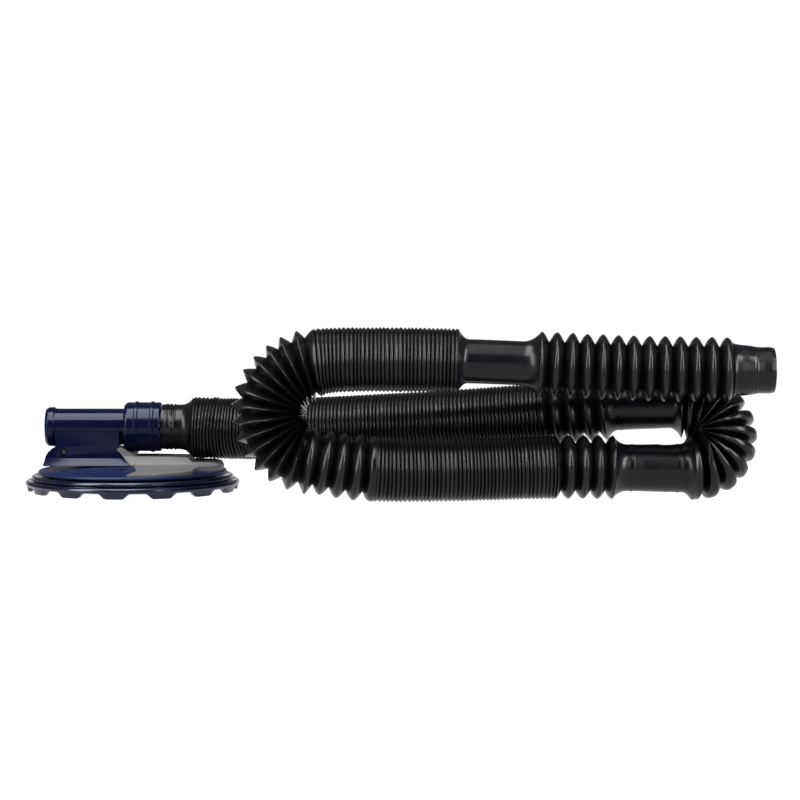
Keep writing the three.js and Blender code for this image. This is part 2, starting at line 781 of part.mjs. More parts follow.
buildDeck();
buildShells();
buildEndCap();
buildNose();
buildHammer();
buildDisc();
buildSwivel();
buildHose();

export default cleaner;
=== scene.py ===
"""Looks for a suction pool cleaner: navy head, grey nose cover and a folded black bellows hose."""

import math
import random

import bmesh
import bpy
import numpy as np
from mathutils import Matrix, Vector


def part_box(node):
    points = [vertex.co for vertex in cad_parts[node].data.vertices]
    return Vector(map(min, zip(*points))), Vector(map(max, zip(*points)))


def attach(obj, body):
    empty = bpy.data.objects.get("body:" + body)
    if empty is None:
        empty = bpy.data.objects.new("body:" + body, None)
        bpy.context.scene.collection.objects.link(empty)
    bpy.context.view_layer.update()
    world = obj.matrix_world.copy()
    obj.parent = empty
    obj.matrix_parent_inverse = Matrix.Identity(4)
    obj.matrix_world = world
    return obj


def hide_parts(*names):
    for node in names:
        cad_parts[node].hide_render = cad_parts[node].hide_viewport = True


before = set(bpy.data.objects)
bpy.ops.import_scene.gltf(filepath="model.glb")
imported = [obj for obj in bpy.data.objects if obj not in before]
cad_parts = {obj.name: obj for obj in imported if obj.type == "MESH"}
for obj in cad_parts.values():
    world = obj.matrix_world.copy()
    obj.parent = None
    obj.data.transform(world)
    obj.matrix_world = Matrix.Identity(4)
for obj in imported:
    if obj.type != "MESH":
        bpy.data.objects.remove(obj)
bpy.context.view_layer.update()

MM = 0.001
TAU = 2 * math.pi

# ------------------------------------------------------------------ camera
# A long lens in front of the middle of the object, a little above it and tipped slightly down
CAMERA_DISTANCE = 2.75
CAMERA_SIDE = 0.2948
CAMERA_HEIGHT = 0.2648
CAMERA_DROP = math.radians(3.452)
CAMERA_LENS = 112.5

camera_data = bpy.data.cameras.new("camera")
camera_data.lens = CAMERA_LENS
camera_data.sensor_width = 36
camera = bpy.data.objects.new("camera", camera_data)
bpy.context.scene.collection.objects.link(camera)
camera.location = (CAMERA_SIDE, -CAMERA_DISTANCE, CAMERA_HEIGHT)
camera.rotation_euler = (math.pi / 2 - CAMERA_DROP, 0, 0)
bpy.context.scene.camera = camera


# ------------------------------------------------------------------ mesh helpers
# Outlines and sizes are in millimetres, and meshes are in metres
CORNER_STEPS = 4
WELD = 1e-6
WELD_COPY = 2e-6
FLAT = math.radians(1.5)


def new_object(name, verts, faces, scale=1.0):
    """A mesh object from vertices and faces, with its normals facing out."""
    mesh = bpy.data.meshes.new(name)
    mesh.from_pydata([tuple(float(c) * scale for c in v) for v in verts], [], faces)
    mesh.validate()
    bm = bmesh.new()
    bm.from_mesh(mesh)
    bmesh.ops.recalc_face_normals(bm, faces=bm.faces)
    bm.to_mesh(mesh)
    bm.free()
    obj = bpy.data.objects.new(name, mesh)
    bpy.context.scene.collection.objects.link(obj)
    return obj


def shade(obj, angle=35):
    """Smooth shading, with edges sharper than the angle kept crisp."""
    mesh = obj.data
    mesh.polygons.foreach_set("use_smooth", [True] * len(mesh.polygons))
    mesh.set_sharp_from_angle(angle=math.radians(angle))
    return obj


def settle(obj):
    """Applies every modifier on an object."""
    depsgraph = bpy.context.evaluated_depsgraph_get()
    mesh = bpy.data.meshes.new_from_object(obj.evaluated_get(depsgraph))
    mesh.name = obj.name
    obj.modifiers.clear()
    old = obj.data
    obj.data = mesh
    bpy.data.meshes.remove(old)
    return obj


def discard(obj):
    mesh = obj.data
    bpy.data.objects.remove(obj)
    bpy.data.meshes.remove(mesh)


def cut_away(obj, tool):
    """Takes the tool's volume out of an object, and removes the tool."""
    cut = obj.modifiers.new("cut", "BOOLEAN")
    cut.operation = "DIFFERENCE"
    cut.object = tool
    cut.solver = "EXACT"
    settle(obj)
    discard(tool)
    return obj


def bevelled(obj, width, segments=2, angle=28):
    """Rounds the edges of an object that are sharper than the angle."""
    bevel = obj.modifiers.new("bevel", "BEVEL")
    bevel.width = width * MM
    bevel.segments = segments
    bevel.limit_method = "ANGLE"
    bevel.angle_limit = math.radians(angle)
    bevel.harden_normals = False
    return settle(obj)


def fillet(points):
    """Rounds the corners of a closed outline of (a, b) or (a, b, radius) points."""
    out = []
    count = len(points)
    for i, point in enumerate(points):
        radius = point[2] if len(point) > 2 else 0
        here = np.array(point[:2], float)
        if radius <= 0:
            out.append(tuple(here))
            continue
        back = np.array(points[i - 1][:2], float) - here
        ahead = np.array(points[(i + 1) % count][:2], float) - here
        back_length, ahead_length = np.linalg.norm(back), np.linalg.norm(ahead)
        back, ahead = back / back_length, ahead / ahead_length
        half = math.acos(float(np.clip(back @ ahead, -1, 1))) / 2
        reach = min(radius / math.tan(half), back_length * 0.48, ahead_length * 0.48)
        start, end = here + back * reach, here + ahead * reach
        for k in range(CORNER_STEPS + 1):
            t = k / CORNER_STEPS
            out.append(tuple((1 - t) ** 2 * start + 2 * t * (1 - t) * here + t * t * end))
    return out


def turned(name, outline, steps=128, axis="z", centre=(0, 0, 0)):
    """Turns a closed outline of (radius, height) about an axis."""
    points = [(max(r, 0.0), h) for r, h in outline]
    count = len(points)
    verts = []
    for k in range(steps):
        turn = TAU * k / steps
        for r, h in points:
            across, up = r * math.cos(turn), r * math.sin(turn)
            spot = (across, up, h) if axis == "z" else (h, across, up)
            verts.append(tuple(a + b for a, b in zip(spot, centre)))
    faces = []
    for k in range(steps):
        following = (k + 1) % steps
        for i in range(count):
            j = (i + 1) % count
            if points[i][0] == 0 and points[j][0] == 0:
                continue
            here, there = k * count, following * count
            faces.append((here + i, here + j, there + j, there + i))
    obj = new_object(name, verts, faces, MM)
    bm = bmesh.new()
    bm.from_mesh(obj.data)
    bmesh.ops.remove_doubles(bm, verts=bm.verts, dist=WELD)
    bmesh.ops.recalc_face_normals(bm, faces=bm.faces)
    bm.to_mesh(obj.data)
    bm.free()
    return obj


def prism(name, outline, low, high, axis):
    """Extrudes a closed outline. Axis x takes (y, z) points, and axis z takes (x, y)."""
    place = {
        "x": lambda a, b, d: (d, a, b),
        "z": lambda a, b, d: (a, b, d),
    }[axis]
    count = len(outline)
    verts = [place(a, b, low) for a, b in outline] + [place(a, b, high) for a, b in outline]
    faces = [tuple(range(count)), tuple(range(count, 2 * count))]
    for i in range(count):
        j = (i + 1) % count
        faces.append((i, j, count + j, count + i))
    return new_object(name, verts, faces, MM)


def box(name, x0, x1, y0, y1, z0, z1):
    return prism(name, [(x0, y0), (x1, y0), (x1, y1), (x0, y1)], z0, z1, "z")


def copy_of(node, name):
    """A new piece that starts from a CAD node's own surface, with flat areas made whole."""
    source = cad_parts[node]
    mesh = source.data.copy()
    mesh.name = name
    mesh.materials.clear()
    bm = bmesh.new()
    bm.from_mesh(mesh)
    bmesh.ops.remove_doubles(bm, verts=bm.verts, dist=WELD_COPY)
    bmesh.ops.dissolve_limit(bm, angle_limit=FLAT, verts=bm.verts, edges=bm.edges)
    bmesh.ops.recalc_face_normals(bm, faces=bm.faces)
    bm.to_mesh(mesh)
    bm.free()
    obj = bpy.data.objects.new(name, mesh)
    bpy.context.scene.collection.objects.link(obj)
    return obj


def dress(obj, material, body, slot, *nodes, angle=35):
    """Finishes a piece: shading, material, the body it rides on and the CAD nodes it stands for."""
    obj.data.materials.clear()
    obj.data.materials.append(material)
    shade(obj, angle)
    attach(obj, body)
    if nodes:
        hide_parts(*nodes)
    return obj


# ------------------------------------------------------------------ materials
def noise(tree, where, scale, detail, distortion=0.0):
    """The value of a noise texture in object coordinates."""
    texture = tree.nodes.new("ShaderNodeTexNoise")
    texture.inputs["Scale"].default_value = scale
    texture.inputs["Detail"].default_value = detail
    texture.inputs["Distortion"].default_value = distortion
    tree.links.new(where.outputs["Object"], texture.inputs["Vector"])
    return texture.outputs["Fac"]


def remap(tree, value, low, high, to_low, to_high):
    """A value moved from low..high to to_low..to_high, and held inside it."""
    node = tree.nodes.new("ShaderNodeMapRange")
    node.inputs["From Min"].default_value = low
    node.inputs["From Max"].default_value = high
    node.inputs["To Min"].default_value = to_low
    node.inputs["To Max"].default_value = to_high
    tree.links.new(value, node.inputs["Value"])
    return node.outputs["Result"]


def plastic(name, color, roughness, grain=900.0, grain_depth=0.02, cloud=0.25, rough_swing=0.1,
            scuff=0.0, scuff_color=(0.2, 0.2, 0.22), specular=0.5):
    """Moulded plastic or rubber: faint cloudy colour, a moulded grain and uneven gloss."""
    material = bpy.data.materials.new(name)
    material.use_nodes = True
    tree = material.node_tree
    shader = tree.nodes["Principled BSDF"]
    shader.inputs["Specular IOR Level"].default_value = specular
    where = tree.nodes.new("ShaderNodeTexCoord")
    tint = tree.nodes.new("ShaderNodeValToRGB")
    darker, lighter = tint.color_ramp.elements
    darker.position, lighter.position = 0.3, 0.7
    darker.color = (*[c * (1 - cloud) for c in color], 1)
    lighter.color = (*[min(1.0, c * (1 + cloud)) for c in color], 1)
    tree.links.new(noise(tree, where, 22, 5), tint.inputs["Fac"])
    base = tint.outputs["Color"]
    if scuff > 0:
        mix = tree.nodes.new("ShaderNodeMix")
        mix.data_type = "RGBA"
        gate = remap(tree, noise(tree, where, 160, 8, 1.5), 0.6, 0.75, 0.0, scuff)
        tree.links.new(gate, mix.inputs["Factor"])
        tree.links.new(base, mix.inputs[6])
        mix.inputs[7].default_value = (*scuff_color, 1)
        base = mix.outputs[2]
    tree.links.new(base, shader.inputs["Base Color"])
    smoothest, roughest = max(0.03, roughness - rough_swing), min(1.0, roughness + rough_swing)
    spread = remap(tree, noise(tree, where, 60, 6), 0.3, 0.7, smoothest, roughest)
    tree.links.new(spread, shader.inputs["Roughness"])
    bump = tree.nodes.new("ShaderNodeBump")
    bump.inputs["Strength"].default_value = grain_depth
    bump.inputs["Distance"].default_value = 0.0006
    tree.links.new(noise(tree, where, grain, 3), bump.inputs["Height"])
    tree.links.new(bump.outputs["Normal"], shader.inputs["Normal"])
    return material


def metal(name, color, roughness, brushed=400.0):
    """Brushed or cast metal with fine lines and uneven polish."""
    material = plastic(name, color, roughness, grain=brushed, grain_depth=0.08, cloud=0.12)
    material.node_tree.nodes["Principled BSDF"].inputs["Metallic"].default_value = 1.0
    return material


NAVY = plastic(
    "navy_gloss", (0.0008, 0.0012, 0.0105), 0.17, grain=700, grain_depth=0.02, cloud=0.12,
    rough_swing=0.04, scuff=0.08, scuff_color=(0.012, 0.015, 0.05), specular=0.17,
)
DECK = plastic(
    "navy_deck", (0.0027, 0.0048, 0.026), 0.42, grain=900, grain_depth=0.05, cloud=0.12,
    rough_swing=0.06, scuff=0.08, scuff_color=(0.02, 0.025, 0.07), specular=0.22,
)
NAVY_SKIRT = plastic(
    "navy_skirt", (0.0009, 0.0013, 0.008), 0.2, grain=1200, grain_depth=0.05, cloud=0.2,
    rough_swing=0.05, scuff=0.10, scuff_color=(0.012, 0.012, 0.03), specular=0.42,
)
BLUE_SHEEN = (0.72, 0.77, 1.0, 1)
for navy in (NAVY, DECK, NAVY_SKIRT):
    navy.node_tree.nodes["Principled BSDF"].inputs["Specular Tint"].default_value = BLUE_SHEEN
GREY = plastic(
    "light_grey", (0.066, 0.0645, 0.066), 0.5, grain=1100, grain_depth=0.10, cloud=0.05,
    rough_swing=0.07, scuff=0.10, scuff_color=(0.10, 0.10, 0.10), specular=0.25,
)
HOSE = plastic(
    "hose_black", (0.0014, 0.0014, 0.0018), 0.27, grain=500, grain_depth=0.04, cloud=0.3,
    rough_swing=0.05, scuff=0.08, scuff_color=(0.006, 0.006, 0.008), specular=0.2,
)
# Black rubber: the slight purple in its base colour is a painted tint of the reflections on the cuffs
CUFF = plastic(
    "cuff_black", (0.0009, 0.0008, 0.0018), 0.27, grain=260, grain_depth=0.03, cloud=0.3,
    rough_swing=0.04, scuff=0.10, scuff_color=(0.006, 0.006, 0.010), specular=0.2,
)
RUBBER = plastic("black_rubber", (0.012, 0.012, 0.012), 0.65, grain=1500, grain_depth=0.25, cloud=0.3)
ACETAL = plastic("white_acetal", (0.66, 0.65, 0.60), 0.4, grain=900, grain_depth=0.08, cloud=0.04)
HAMMER = plastic("hammer_blue", (0.015, 0.05, 0.24), 0.35, grain=900, grain_depth=0.08, cloud=0.15)
STEEL = metal("stainless", (0.58, 0.58, 0.57), 0.28)
# Stainless screws given a dark metal colour: painted shade of the recesses they sit in
SCREW_PAINTED_SHADE = metal("screw_painted_shade", (0.055, 0.056, 0.07), 0.4)
IRON = metal("ballast_iron", (0.14, 0.14, 0.15), 0.55, brushed=250)

# ------------------------------------------------------------------ hose route
# The centreline of the hose, in metres, from the swivel collar to the end connector
HOSE_ROUTE = [
    (0.033, 0.0, 0.0695),
    (0.074, -0.0002, 0.0689),
    (0.094, -0.0022, 0.0677),
    (0.119, -0.006, 0.067),
    (0.194, -0.022, 0.0696),
    (0.261, -0.036, 0.074),
    (0.356, -0.054, 0.0804),
    (0.44, -0.07, 0.0875),
    (0.516, -0.085, 0.095),
    (0.575, -0.094, 0.098),
    (0.6, -0.0965, 0.0984),
    (0.6197, -0.099, 0.0959),
    (0.6301, -0.1015, 0.0889),
    (0.6371, -0.105, 0.0785),
    (0.6395, -0.1095, 0.0663),
    (0.6371, -0.114, 0.0541),
    (0.6301, -0.118, 0.0437),
    (0.6197, -0.1215, 0.0367),
    (0.606, -0.124, 0.0346),
    (0.57, -0.126, 0.0345),
    (0.524, -0.127, 0.0356),
    (0.46, -0.131, 0.0366),
    (0.4, -0.135, 0.035),
    (0.337, -0.14, 0.034),
    (0.269, -0.145, 0.0346),
    (0.232, -0.148, 0.0388),
    (0.203, -0.1493, 0.0446),
    (0.1844, -0.15, 0.0486),
    (0.1684, -0.15, 0.059),
    (0.1576, -0.15, 0.0758),
    (0.1538, -0.15, 0.0956),
    (0.1579, -0.15, 0.1152),
    (0.1694, -0.15, 0.131),
    (0.186, -0.15, 0.1424),
    (0.205, -0.15, 0.1482),
    (0.281, -0.152, 0.1502),
    (0.354, -0.153, 0.149),
    (0.433, -0.155, 0.146),
    (0.482, -0.156, 0.1432),
    (0.602, -0.159, 0.14),
    (0.643, -0.16, 0.1394),
]

HOSE_SIDES = 88
CREST_R = 33.4
VALLEY_R = 23.6
BORE_R = 21.4
# The bore takes one ring for every so many of the skin's
BORE_RINGS = 6
# Pleats on the inside of a bend are pressed out towards its centre, and their valleys close up
INNER_SWELL = 0.36
INNER_PRESS = 0.8
# The skin reaches at most this share of the way to the centre of a bend, and the bore this share of that
SKIN_LIMIT = 0.99
BORE_LIMIT = 0.9
# A curvature too slight to count as a bend, in 1/mm
LEAST_BEND = 1e-4
# Points in each span of the route, and points that the easing takes in
SPAN_POINTS = 48
EASE_POINTS = 15


def centreline(points):
    """A smooth curve through the points, by centripetal Catmull-Rom spans."""
    p = [np.array(q, float) / MM for q in points]
    p = [2 * p[0] - p[1]] + p + [2 * p[-1] - p[-2]]
    out = []
    for i in range(1, len(p) - 2):
        p0, p1, p2, p3 = p[i - 1:i + 3]
        d0, d1, d2 = (math.sqrt(np.linalg.norm(b - a)) for a, b in ((p0, p1), (p1, p2), (p2, p3)))
        t1 = ((p1 - p0) / d0 - (p2 - p0) / (d0 + d1) + (p2 - p1) / d1) * d1
        t2 = ((p2 - p1) / d1 - (p3 - p1) / (d1 + d2) + (p3 - p2) / d2) * d1
        for k in range(SPAN_POINTS):
            t = k / SPAN_POINTS
            a = 2 * p1 - 2 * p2 + t1 + t2
            b = -3 * p1 + 3 * p2 - 2 * t1 - t2
            out.append(a * t ** 3 + b * t ** 2 + t1 * t + p1)
    out.append(p[-2])
    return np.array(out)


def lengths_along(curve):
    """Distance along a curve to each of its points."""
    return np.concatenate([[0], np.cumsum(np.linalg.norm(np.diff(curve, axis=0), axis=1))])


def evenly(curve):
    """The same curve with points about 1 mm apart, its bends eased a little."""
    lengths = lengths_along(curve)
    count = int(lengths[-1]) + 1
    marks = np.linspace(0, lengths[-1], count)
    even = np.stack([np.interp(marks, lengths, curve[:, k]) for k in range(3)], axis=1)
    window = np.hanning(EASE_POINTS)
    window /= window.sum()
    eased = even.copy()
    for k in range(3):
        padded = np.pad(even[:, k], EASE_POINTS // 2, mode="reflect", reflect_type="odd")
        eased[:, k] = np.convolve(padded, window, mode="valid")
    return eased


LINE = evenly(centreline(HOSE_ROUTE))
LINE_AT = lengths_along(LINE)
HOSE_LENGTH = float(LINE_AT[-1])


def along(x, y, z):
    """Distance along the hose of the point nearest a place."""
    return float(LINE_AT[np.argmin(np.linalg.norm(LINE - np.array([x, y, z]), axis=1))])


# ------------------------------------------------------------------ hose profile
# Each stretch gives rings as (distance, radius, plain), where plain is 1 on a cuff and 0 on pleats
dice = random.Random(7)
PACKED_PITCH = 4.1
# Points of a ridge: distance from its crest as a share of the pitch, drop as a share of the depth
RIDGE = ((-0.34, 0.5), (-0.1, 0.08), (0.0, 0.0), (0.1, 0.08), (0.34, 0.5))
FLANK_STEPS = 11
CUFF_STEP = 0.9
FLARE_CURVE = 2.2


def packed(start, end, crest):
    """Folded pleats pressed together: narrow ridges with shallow grooves between, a little uneven."""
    rings = []
    count = max(1, round((end - start) / PACKED_PITCH))
    widths = [1 + dice.uniform(-0.14, 0.14) for _ in range(count)]
    total = sum(widths)
    at = start
    for width in widths:
        span = (end - start) * width / total
        top = crest + dice.uniform(-0.15, 0.08)
        depth = dice.uniform(1.7, 2.2)
        ridge = dice.uniform(0.46, 0.54)
        rings.append((at, top - depth, 0))
        rings += [(at + (ridge + share) * span, top - depth * drop, 0) for share, drop in RIDGE]
        at += span
    return rings


def rise_to(share, length, tip, swell):
    """Height on a flank, from 0 in the valley to 1 on the rounded crest, bulging between."""
    blunt = tip / length
    ramp = (1 - math.hypot(1 - share, blunt)) / (1 - blunt)
    ramp = max(ramp, 0.0)
    return min(1.0, ramp + swell * math.sin(math.pi * ramp))


def flank(start, end, valley, crest, rising, tip=1.0, swell=0.13):
    """One side of a pleat, from valley to crest when rising and from crest to valley when not."""
    rings = []
    for k in range(FLANK_STEPS):
        u = k / FLANK_STEPS
        rise = rise_to(u if rising else 1 - u, end - start, tip, swell)
        rings.append((start + u * (end - start), valley + (crest - valley) * rise, 0))
    return rings


def pleated(start, end, count, crest, valley, tip=1.0, swell=0.13):
    """Open pleats in a row, from valley to valley."""
    rings = []
    pitch = (end - start) / count
    for i in range(count):
        top = crest + dice.uniform(-0.2, 0.2)
        begin = start + i * pitch
        middle = begin + pitch * dice.uniform(0.47, 0.53)
        rings += flank(begin, middle, valley, top, True, tip, swell)
        rings += flank(middle, begin + pitch, valley, top, False, tip, swell)
    return rings


def cuff(start, end, radius, left, right, left_flare=1.0, right_flare=1.0, seams=(), taper=0.0):
    """A plain cuff, flared to the radii left and right at its ends, with thin seam rings.

    A seam is (place as a share of the cuff, height, width).
    """
    rings = []
    span = end - start
    steps = max(24, int(span / CUFF_STEP))
    for k in range(steps):
        d = span * k / steps
        r = radius + taper * (d / span - 0.5)
        if d < left_flare:
            r += (left - radius) * (1 - d / left_flare) ** FLARE_CURVE
        if span - d < right_flare:
            r += (right - radius) * (1 - (span - d) / right_flare) ** FLARE_CURVE
        for place, height, width in seams:
            r += height * math.exp(-(((d - place * span) / width) ** 2))
        rings.append((start + d, r, 1))
    return rings


def hose_profile():
    """Every ring of the hose from the collar to the end connector."""
    top, valley = CREST_R, VALLEY_R
    # Middle run, away from the head
    neck, low_run_valley = 24.6, 24.2
    flare = along(53.0, 0, 69.4)
    pressed = along(66.8, 0, 69.0)
    folds = ((0.27, 0.7, 1.2), (0.52, 0.9, 1.0), (0.61, -0.9, 0.9), (0.7, 0.8, 1.0))
    rings = cuff(0, flare, neck, neck, neck, seams=folds)
    rings += cuff(flare, pressed, neck, neck, 33.0, right_flare=13.6)
    freed = along(450, -72, 88.3)
    rings += packed(pressed, freed, 33.3)
    first, fourth = along(457, -73, 89), along(514.5, -84.5, 94.6)
    pitch = (fourth - first) / 3.5
    rings += flank(freed, first, valley, top, False)
    rings += pleated(first, first + 3 * pitch, 3, top, valley)
    rings += flank(first + 3 * pitch, fourth, valley, top, True)
    bend = along(593.5, -96, 98.4)
    rings += cuff(fourth, bend, valley, top, 31.5, 12, 13, seams=((0.2, 0.4, 1.2),))
    # Right bend and low run, back towards the head
    flange = along(605, -124, 34.7)
    cuff_low = flange + 4.5
    rings += flank(bend, bend + 4, 23.0, 31.5, False, tip=0.8)
    rings += pleated(bend + 4, flange - 5, 10, top, 21.5, tip=1.5, swell=0.3)
    rings += flank(flange - 5, flange, 22.0, 33.0, True, tip=0.8)
    rings += [(flange + 0.4, 33.0, 0), (flange + 4.0, 32.8, 0)]
    fourth, first = along(518.6, -127, 35.8), along(463.8, -131, 36.6)
    folds = ((0.17, 0.5, 0.9), (0.76, 0.5, 1.1))
    rings += cuff(cuff_low, fourth, 24.8, 32.8, top, 10, 16, seams=folds, taper=-1.0)
    pitch = (first - fourth) / 3.5
    rings += flank(fourth, fourth + pitch / 2, low_run_valley, top, False)
    rings += pleated(fourth + pitch / 2, first, 3, top, low_run_valley)
    pressed = along(456.5, -131, 36.6)
    rings += flank(first, pressed, low_run_valley, 33.3, True)
    freed = along(267.8, -145, 34.7)
    rings += packed(pressed, freed, 33.3)
    # Left bend, up to the top run
    low_valley = along(257, -146, 35.5)
    turn_in, turn_out = along(192, -150, 47.5), along(201, -150, 147.4)
    rings += flank(freed, low_valley, 24.0, 33.3, False, tip=3.0, swell=0.3)
    rings += pleated(low_valley, turn_in, 4, 33.8, 24.0)
    rings += pleated(turn_in, turn_out, 13, 35.0, 24.8, tip=0.5, swell=0.0)
    pressed, freed = along(210.0, -150, 148.6), along(355.5, -153, 149)
    rings += flank(turn_out, pressed, 26.5, 33.8, True)
    rings += packed(pressed, freed, 33.6)
    # Top run, out to the connector
    crest_one = along(440.6, -155, 145.6)
    rings += cuff(freed, crest_one, 22.9, 33.2, 34.0, 11, 19)
    last_crest = HOSE_LENGTH - 9.4
    pitch = (last_crest - crest_one) / 12
    rings += flank(crest_one, crest_one + pitch / 2, valley, 34.0, False)
    rings += pleated(crest_one + pitch / 2, last_crest - pitch / 2, 11, 34.0, valley)
    rings += flank(last_crest - pitch / 2, last_crest, valley, 34.0, True)
    rings += flank(last_crest, last_crest + 5.8, 28.0, 34.0, False)
    rings += [(last_crest + 6, 27.4, 1), (HOSE_LENGTH, 27.2, 1)]
    return rings


def frames_along(distances):
    """Position, two cross directions and the bend vector at each distance along the hose."""
    spots = np.stack([np.interp(distances, LINE_AT, LINE[:, k]) for k in range(3)], axis=1)
    slopes = np.gradient(LINE, LINE_AT, axis=0)
    slopes /= np.linalg.norm(slopes, axis=1)[:, None]
    bends = np.gradient(slopes, LINE_AT, axis=0)
    tangents = np.stack([np.interp(distances, LINE_AT, slopes[:, k]) for k in range(3)], axis=1)
    tangents /= np.linalg.norm(tangents, axis=1)[:, None]
    bends = np.stack([np.interp(distances, LINE_AT, bends[:, k]) for k in range(3)], axis=1)
    side = np.cross(tangents[0], (0, 0, 1.0))
    side /= np.linalg.norm(side)
    sides = []
    for tangent in tangents:
        side = side - tangent * (side @ tangent)
        side /= np.linalg.norm(side)
        sides.append(side.copy())
    sides = np.array(sides)
    return spots, sides, np.cross(tangents, sides), bends


def build_hose():
    """The whole hose as one closed skin: the pleats outside, and a plain bore inside."""
    rings = hose_profile()
    distances = np.array([min(r[0], HOSE_LENGTH) for r in rings])
    radii = np.array([r[1] for r in rings])
    plain = np.array([r[2] for r in rings])
    spots, sides, ups, bends = frames_along(distances)
    turn = np.arange(HOSE_SIDES) * TAU / HOSE_SIDES
    across, upward = np.cos(turn)[None, :, None], np.sin(turn)[None, :, None]
    directions = across * sides[:, None, :] + upward * ups[:, None, :]
    toward = np.einsum("ijk,ik->ij", directions, bends)
    reach = np.repeat(radii[:, None], HOSE_SIDES, axis=1)
    reach *= 1 + INNER_SWELL * np.clip(toward * reach, 0, 1)
    closing = np.clip(toward * CREST_R, 0, 1)
    pressed_out = CREST_R * (1 + INNER_SWELL * closing)
    reach += INNER_PRESS * closing * np.maximum(pressed_out - reach, 0)
    bend_radius = np.where(toward > LEAST_BEND, 1 / np.maximum(toward, LEAST_BEND), np.inf)
    reach = np.minimum(reach, SKIN_LIMIT * bend_radius)
    skin = spots[:, None, :] + directions * reach[:, :, None]
    # The bore runs back from the far end, and its first and last rings meet the ends of the skin
    back = slice(None, None, -BORE_RINGS)
    bore_reach = np.minimum(BORE_R, BORE_LIMIT * SKIN_LIMIT * bend_radius[back])
    inner = spots[back][:, None, :] + directions[back] * bore_reach[:, :, None]
    inner[0] = spots[-1] + directions[-1] * BORE_R
    inner[-1] = spots[0] + directions[0] * BORE_R
    verts = np.concatenate([skin.reshape(-1, 3), inner.reshape(-1, 3)])
    rows = len(skin) + len(inner)
    faces = []
    for i in range(rows):
        here, there = i * HOSE_SIDES, (i + 1) % rows * HOSE_SIDES
        for k in range(HOSE_SIDES):
            m = (k + 1) % HOSE_SIDES
            faces.append((here + k, here + m, there + m, there + k))
    mesh = bpy.data.meshes.new("bellows_hose")
    mesh.from_pydata((verts * MM).tolist(), [], faces)
    mesh.validate()
    mesh.materials.append(HOSE)
    mesh.materials.append(CUFF)
    slots = np.zeros(len(faces), dtype=np.int32)
    for i in range(len(skin) - 1):
        if plain[i] and plain[i + 1]:
            slots[i * HOSE_SIDES:(i + 1) * HOSE_SIDES] = 1
    mesh.polygons.foreach_set("material_index", slots)
    hose = bpy.data.objects.new("bellows_hose", mesh)
    bpy.context.scene.collection.objects.link(hose)
    bm = bmesh.new()
    bm.from_mesh(mesh)
    bmesh.ops.recalc_face_normals(bm, faces=bm.faces)
    bm.to_mesh(mesh)
    bm.free()
    shade(hose, 75)
    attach(hose, "head")
    return hose


def build_connector():
    """The moulded cone and plain sleeve on the open end of the hose."""
    low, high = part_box("hose_end_connector")
    overlap = 4.0
    start = low.x / MM - overlap
    end = high.x / MM
    centre = (0, (low.y + high.y) / 2 / MM, (low.z + high.z) / 2 / MM)
    outline = fillet([
        (21.0, start),
        (28.9, start),
        (27.6, start + 2.4, 3),
        (26.6, start + 8, 4),
        (26.0, start + 15, 4),
        (25.3, start + 20.4, 2),
        (24.6, start + 22.6, 0.8),
        (24.9, start + 23.6, 0.5),
        (24.3, start + 24.8, 0.6),
        (24.0, start + 31, 1),
        (24.2, start + 37.4, 0.6),
        (24.2, start + 39.2, 0.6),
        (23.7, start + 40.0, 0.6),
        (23.6, end - 1.4, 0.6),
        (23.0, end, 0.5),
        (20.2, end, 0.6),
        (19.8, end - 8, 1),
        (20.1, start + 14, 3),
    ])
    obj = turned("end_connector", outline, 128, "x", centre)
    return dress(obj, CUFF, "head", "cuff_black", "hose_end_connector")


hose = build_hose()
connector = build_connector()
HOSE_NODES = [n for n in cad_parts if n.startswith("hose_") and n != "hose_end_connector"]
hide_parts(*HOSE_NODES)

# ------------------------------------------------------------------ head
HEAD = "head"
TUBE_Z = 69.5
TUBE_R = 20.0
# Raised lines along the tube
RIB_RISES = (8.0, -2.0)
RIB_LEFT, RIB_RIGHT = -84.0, -8.6
RIB_HALF = 0.75
RIB_PROUD = 0.7
RIB_SUNK = 1.5
# How far in from the outer end of a CAD screw the underside of its head lies
DECK_SEAT = 2.8
CASE_SEAT = 2.3
DECK_SCREWS = ("deck_screw_1", "deck_screw_2", "deck_screw_3", "deck_screw_4")


def build_shells():
    """The two halves of the body, each with raised lines along the tube."""
    for side, node in ((-1, "body_shell_near"), (1, "body_shell_far")):
        shell = copy_of(node, node + "_skin")
        bevelled(shell, 0.55, 2, 24)
        dress(shell, NAVY, HEAD, "navy_gloss", node, angle=24)
        for i, rise in enumerate(RIB_RISES):
            reach = math.sqrt(TUBE_R ** 2 - max(rise, 0) ** 2)
            near, far = sorted((side * (reach - RIB_SUNK), side * (reach + RIB_PROUD)))
            low, high = TUBE_Z + rise - RIB_HALF, TUBE_Z + rise + RIB_HALF
            outline = fillet([
                (near, low, 0.2),
                (far, low, 0.2),
                (far, high, 0.2),
                (near, high, 0.2),
            ])
            rib = prism(f"{node}_rib_{i + 1}", outline, RIB_LEFT, RIB_RIGHT, "x")
            dress(rib, NAVY, HEAD, "navy_gloss")


def build_end_cap():
    """The stepped cap that closes the tube's left end."""
    outline = fillet([
        (0, -94.9),
        (14.6, -94.9, 0.6),
        (15.6, -94.2, 0.6),
        (18.2, -94.2, 0.6),
        (19.0, -94.7, 0.4),
        (19.8, -94.4, 1.4),
        (21.6, -91.6, 1.6),
        (21.6, -85.4, 0.6),
        (21.1, -84.4, 0.4),
        (20.3, -84.4),
        (20.3, -92.5),
        (0, -92.5),
    ])
    cap = turned("tube_end_cap_skin", outline, 128, "x", (0, 0, TUBE_Z))
    dress(cap, NAVY, HEAD, "navy_gloss", "tube_end_cap")


